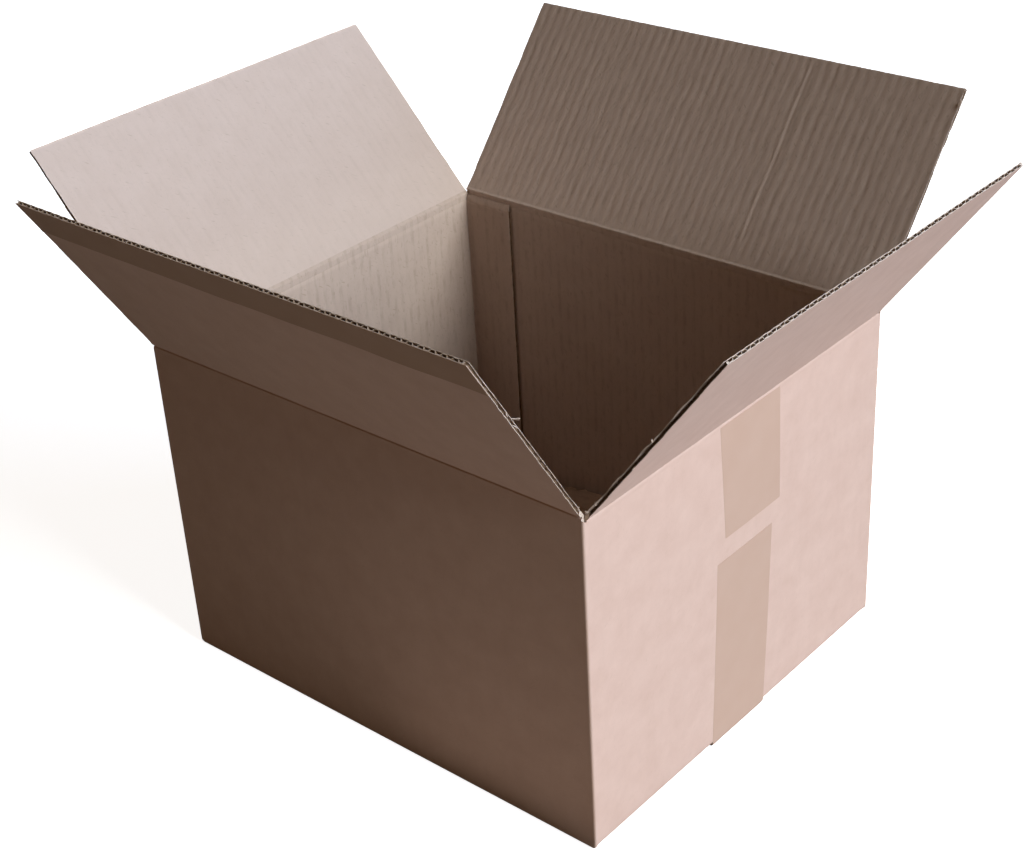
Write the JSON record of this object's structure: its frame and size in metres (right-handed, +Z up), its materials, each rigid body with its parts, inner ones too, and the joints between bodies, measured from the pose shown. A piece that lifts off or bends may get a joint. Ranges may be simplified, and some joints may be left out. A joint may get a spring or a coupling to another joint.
{
  "type": "open cardboard box",
  "caption": "Small corrugated cardboard shipping box standing open, its top flaps leaning outwards, bottom closed with packing tape.",
  "frame": {"origin": "centre of the underside, on the plane the box stands on", "axes": "+Z up; X along the long side of the box; -Y is the front long side, +X the taped end wall"},
  "size_m": [0.4636, 0.4122, 0.3101],
  "materials": {
    "kraft_board": "matt brown kraft liner",
    "packing_tape": "tan packing tape, slight sheen"
  },
  "bodies": {
    "box": {"box_body": "kraft_board", "bottom_tape": "packing_tape", "top_tape_right": "packing_tape", "top_tape_left": "packing_tape"},
    "front_flap": {"front_flap": "kraft_board", "front_flap_tape": "packing_tape"},
    "right_flap": {"right_flap": "kraft_board"},
    "back_flap": {"back_flap": "kraft_board", "back_flap_tape": "packing_tape"},
    "left_flap": {"left_flap": "kraft_board"}
  },
  "joints": [
    {"name": "front_flap_fold", "type": "hinge", "parent": "box", "child": "front_flap", "pos_m": [0, -0.13, 0.2003], "axis": [1, 0, 0], "range_deg": [-122.2, 137.8]},
    {"name": "right_flap_fold", "type": "hinge", "parent": "box", "child": "right_flap", "pos_m": [0.15, 0, 0.198], "axis": [0, 1, 0], "range_deg": [-126.7, 133.3]},
    {"name": "back_flap_fold", "type": "hinge", "parent": "box", "child": "back_flap", "pos_m": [0, 0.13, 0.2003], "axis": [-1, 0, 0], "range_deg": [-130.5, 129.5]},
    {"name": "left_flap_fold", "type": "hinge", "parent": "box", "child": "left_flap", "pos_m": [-0.15, 0, 0.198], "axis": [0, -1, 0], "range_deg": [-132.5, 127.5]}
  ]
}
